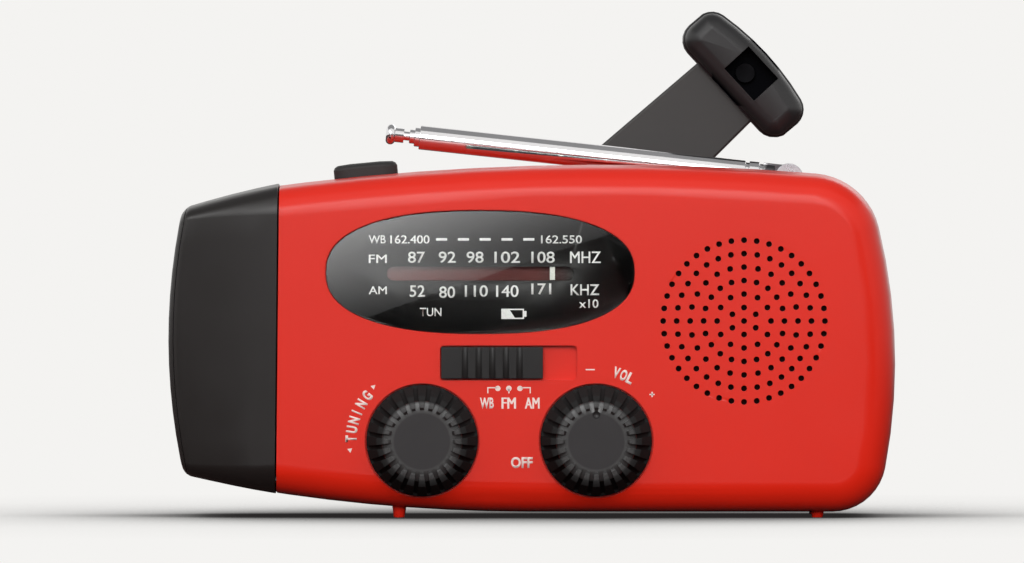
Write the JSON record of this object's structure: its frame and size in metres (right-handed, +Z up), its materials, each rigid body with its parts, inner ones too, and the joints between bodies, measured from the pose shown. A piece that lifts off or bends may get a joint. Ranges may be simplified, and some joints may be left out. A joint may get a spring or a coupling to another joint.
{
  "type": "emergency radio",
  "caption": "Hand-crank and solar pocket radio with a torch head, smoked tuning dial, ribbed knobs, telescopic antenna and drilled loudspeaker grille",
  "frame": {"origin": "On the surface it stands on, under the middle of the whole radio with its knobs and crank", "axes": "+X along the case from the torch to the loudspeaker, -Y out of the dial face, +Z up"},
  "size_m": [0.1282, 0.073, 0.0894],
  "materials": {
    "case_red": "smooth satin ABS, warm red",
    "case_charcoal": "fine satin ABS, charcoal",
    "bezel_charcoal": "satin ABS, charcoal",
    "lens_clear": "clear moulded polycarbonate",
    "reflector_silver": "vacuum-metallised cups",
    "led_clear": "clear epoxy lamp domes",
    "board_green": "solder-masked circuit board",
    "rubber_black": "soft matt rubber",
    "plastic_black": "matt black plastic",
    "window_smoked": "smoked clear acrylic, glossy",
    "dial_black": "printed black dial plate",
    "plastic_white": "natural acetal",
    "steel": "bright zinc-plated steel",
    "knob_charcoal": "satin moulded ABS, charcoal",
    "cone_black": "pulp cone with a rolled surround",
    "magnet_grey": "plated steel can",
    "cloth_black": "fine black acoustic cloth",
    "battery_blue": "blue shrink sleeve",
    "ferrite_brown": "ferrite with a lacquered coil",
    "cell_blue": "dark blue silicon",
    "antenna_chrome": "polished chrome-plated tube",
    "bush_brass": "turned brass",
    "arm_grey": "satin glass-filled nylon, grey",
    "screw_black": "black zinc screws"
  },
  "bodies": {
    "root": {"front_shell": "case_red", "rear_shell": "case_red", "torch_head": "case_charcoal", "torch_bezel": "bezel_charcoal", "torch_lens": "lens_clear", "torch_reflector": "reflector_silver", "torch_leds": "led_clear", "torch_board": "board_green", "torch_switch": "plastic_black", "dial_window": "window_smoked", "dial_plate": "dial_black", "pointer_rail": "steel", "tuning_capacitor": "plastic_white", "dial_pins": "steel", "volume_pot": "steel", "band_switch": "steel", "speaker_frame": "steel", "speaker_cone": "cone_black", "speaker_magnet": "magnet_grey", "speaker_cloth": "cloth_black", "main_board": "board_green", "battery_pack": "battery_blue", "ferrite_rod": "ferrite_brown", "solar_board": "board_green", "solar_cells": "cell_blue", "solar_cover": "window_smoked", "antenna_bracket": "steel", "antenna_pin": "screw_black", "crank_bush": "bush_brass", "gear_plate": "steel", "idler_pin": "steel", "generator": "magnet_grey", "port_board": "board_green", "usb_sockets": "steel", "screws": "screw_black"},
    "torch_press": {"torch_button": "rubber_black"},
    "tuning": {"tuning_knob": "knob_charcoal", "tuning_shaft": "steel", "dial_gear": "plastic_white"},
    "pinion_lower": {"dial_pinion_lower": "plastic_white"},
    "pinion_upper": {"dial_pinion_upper": "plastic_white"},
    "pointer": {"dial_pointer": "plastic_white"},
    "volume": {"volume_knob": "knob_charcoal", "volume_shaft": "steel"},
    "band": {"band_slider": "knob_charcoal"},
    "antenna": {"antenna_base": "antenna_chrome"},
    "section_1": {"antenna_section_1": "antenna_chrome"},
    "section_2": {"antenna_section_2": "antenna_chrome"},
    "rod": {"antenna_rod": "antenna_chrome"},
    "crank": {"crank_axle": "steel", "crank_gear": "plastic_white", "crank_hub": "case_charcoal", "crank_arm": "arm_grey", "crank_screw": "steel"},
    "grip": {"crank_grip": "knob_charcoal", "grip_cap": "knob_charcoal", "grip_screw": "screw_black"},
    "idler": {"idler_gear": "plastic_white"},
    "generator_rotor": {"generator_pinion": "steel"},
    "port_flap": {"port_cover": "rubber_black"}
  },
  "joints": [
    {"name": "crank_turn", "type": "hinge", "parent": "root", "child": "crank", "pos_m": [-0.0033, 0.016, 0.0403], "axis": [0, 1, 0], "continuous": true},
    {"name": "grip_spin", "type": "hinge", "parent": "crank", "child": "grip", "pos_m": [0.038, 0.018, 0.07841], "axis": [0, 1, 0], "continuous": true},
    {"name": "idler_turn", "type": "hinge", "parent": "root", "child": "idler", "pos_m": [-0.01616, 0.002, 0.0313], "axis": [0, 1, 0], "continuous": true},
    {"name": "generator_turn", "type": "hinge", "parent": "root", "child": "generator_rotor", "pos_m": [-0.0231, 0, 0.02138], "axis": [0, 1, 0], "continuous": true},
    {"name": "antenna_swing", "type": "hinge", "parent": "root", "child": "antenna", "pos_m": [0.0456, 0.0018, 0.0598], "axis": [0, 1, 0], "range_deg": [0, 110]},
    {"name": "antenna_slide_1", "type": "slide", "parent": "antenna", "child": "section_1", "axis": [-0.9942, 0, 0.108], "range_m": [0, 0.05]},
    {"name": "antenna_slide_2", "type": "slide", "parent": "section_1", "child": "section_2", "axis": [-0.9942, 0, 0.108], "range_m": [0, 0.05]},
    {"name": "antenna_slide_3", "type": "slide", "parent": "section_2", "child": "rod", "axis": [-0.9942, 0, 0.108], "range_m": [0, 0.05]},
    {"name": "tuning_turn", "type": "hinge", "parent": "root", "child": "tuning", "pos_m": [-0.0194, -0.028, 0.0136], "axis": [0, 1, 0], "range_deg": [-176, 16]},
    {"name": "pinion_lower_turn", "type": "hinge", "parent": "root", "child": "pinion_lower", "pos_m": [-0.01442, -0.026, 0.02463], "axis": [0, 1, 0], "range_deg": [-38, 411.5]},
    {"name": "pinion_upper_turn", "type": "hinge", "parent": "root", "child": "pinion_upper", "pos_m": [-0.01117, -0.026, 0.03183], "axis": [0, 1, 0], "range_deg": [-352.5, 32.5]},
    {"name": "pointer_slide", "type": "slide", "parent": "root", "child": "pointer", "axis": [1, 0, 0], "range_m": [-0.0259, 0.0024]},
    {"name": "volume_turn", "type": "hinge", "parent": "root", "child": "volume", "pos_m": [0.0112, -0.028, 0.0136], "axis": [0, 1, 0], "range_deg": [-106, 164]},
    {"name": "band_slide", "type": "slide", "parent": "root", "child": "band", "axis": [1, 0, 0], "range_m": [0, 0.0058]},
    {"name": "torch_push", "type": "slide", "parent": "root", "child": "torch_press", "axis": [0.0929, 0, -0.9957], "range_m": [0, 0.0008], "stiffness_N_per_m": 800},
    {"name": "port_open", "type": "hinge", "parent": "root", "child": "port_flap", "pos_m": [-0.0033, 0.0093, 0.00645], "axis": [-1, 0, 0], "range_deg": [0, 100]}
  ],
  "couplings": [
    {"joint": "idler_turn", "follows": "crank_turn", "ratio": -3.3333},
    {"joint": "generator_turn", "follows": "crank_turn", "ratio": 10},
    {"joint": "pinion_lower_turn", "follows": "tuning_turn", "ratio": -2.3333},
    {"joint": "pinion_upper_turn", "follows": "tuning_turn", "ratio": 2},
    {"joint": "pointer_slide", "follows": "tuning_turn", "m_per_rad": 0.0084}
  ]
}
